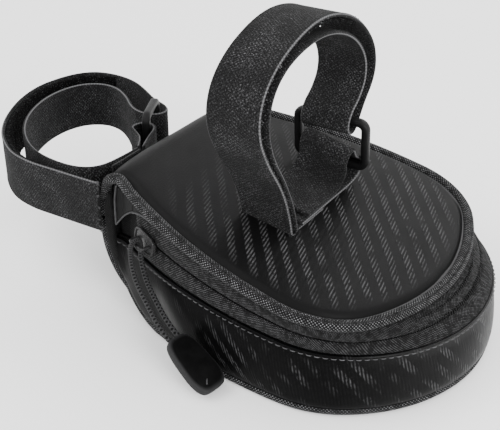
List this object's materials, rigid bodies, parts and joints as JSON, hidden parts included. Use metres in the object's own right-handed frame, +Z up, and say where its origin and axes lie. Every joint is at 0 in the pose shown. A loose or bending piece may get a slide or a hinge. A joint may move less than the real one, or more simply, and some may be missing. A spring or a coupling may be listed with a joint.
{
  "type": "bicycle saddle bag",
  "caption": "Wedge-shaped bicycle saddle bag with a zipped lid, rail strap loop on top and seatpost strap loop at the front.",
  "frame": {"origin": "on the floor under the middle of the widest outline, 20 mm ahead of the widest station, on the plane of symmetry of the body", "axes": "+Z up, +Y forward as the bicycle goes, towards the seatpost strap, +X to the rider's right; the zip pull hangs on -X"},
  "size_m": [0.1273, 0.2151, 0.118],
  "materials": {
    "shell": "woven look laminate",
    "wall": "glossy laminate",
    "foam": "closed cell foam",
    "lining": "plain lining",
    "board": "stiffener sheet",
    "piping": "woven cover",
    "tape": "zip tape",
    "coil": "moulded coil",
    "metal": "black paint",
    "strap": "webbing",
    "plastic": "moulded",
    "cord": "braided",
    "tab": "soft moulded"
  },
  "bodies": {
    "bag": {"side_wall": "wall", "side_lining": "lining", "bottom_panel": "shell", "bottom_board": "board", "bottom_lining": "lining", "front_panel": "shell", "front_foam": "foam", "lower_piping": "piping", "left_corner_panel": "wall", "right_corner_panel": "wall", "lower_zip_tape": "tape", "lower_zip_coil": "coil", "zip_end_stops": "metal", "seatpost_strap_base": "strap"},
    "lid": {"top_panel": "shell", "top_foam": "foam", "top_lining": "lining", "top_piping": "piping", "upper_zip_tape": "tape", "upper_zip_coil": "coil", "rail_strap_base": "strap"},
    "slider": {"slider_body": "metal", "slider_bridge": "metal"},
    "pull": {"pull_cord": "cord", "pull_tab": "tab"},
    "rail_loop": {"rail_strap": "strap", "rail_strap_tail": "strap", "rail_ring": "plastic"},
    "seatpost_loop": {"seatpost_strap": "strap", "seatpost_strap_tail": "strap", "seatpost_ring": "plastic"}
  },
  "joints": [
    {"name": "lid_hinge", "type": "hinge", "parent": "bag", "child": "lid", "pos_m": [0, 0.0545, 0.05758], "axis": [-1, 0, 0], "range_deg": [0, 70]},
    {"name": "zip_travel", "type": "hinge", "parent": "bag", "child": "slider", "pos_m": [0.12238, -0.01984, 0.03209], "axis": [0, -0.1253, 0.9921], "range_deg": [0, 15]},
    {"name": "pull_swing", "type": "hinge", "parent": "slider", "child": "pull", "pos_m": [-0.05046, 0.0414, 0.03983], "axis": [0.3364, 0.9343, 0.118], "range_deg": [0, 80]},
    {"name": "rail_loop_swing", "type": "hinge", "parent": "lid", "child": "rail_loop", "pos_m": [-0.0246, 0.004, 0.04686], "axis": [0, -0.9774, -0.2113], "range_deg": [0, 60]},
    {"name": "seatpost_loop_swing", "type": "hinge", "parent": "bag", "child": "seatpost_loop", "pos_m": [0, 0.0682, 0.034], "axis": [-1, 0, 0], "range_deg": [0, 20]}
  ]
}
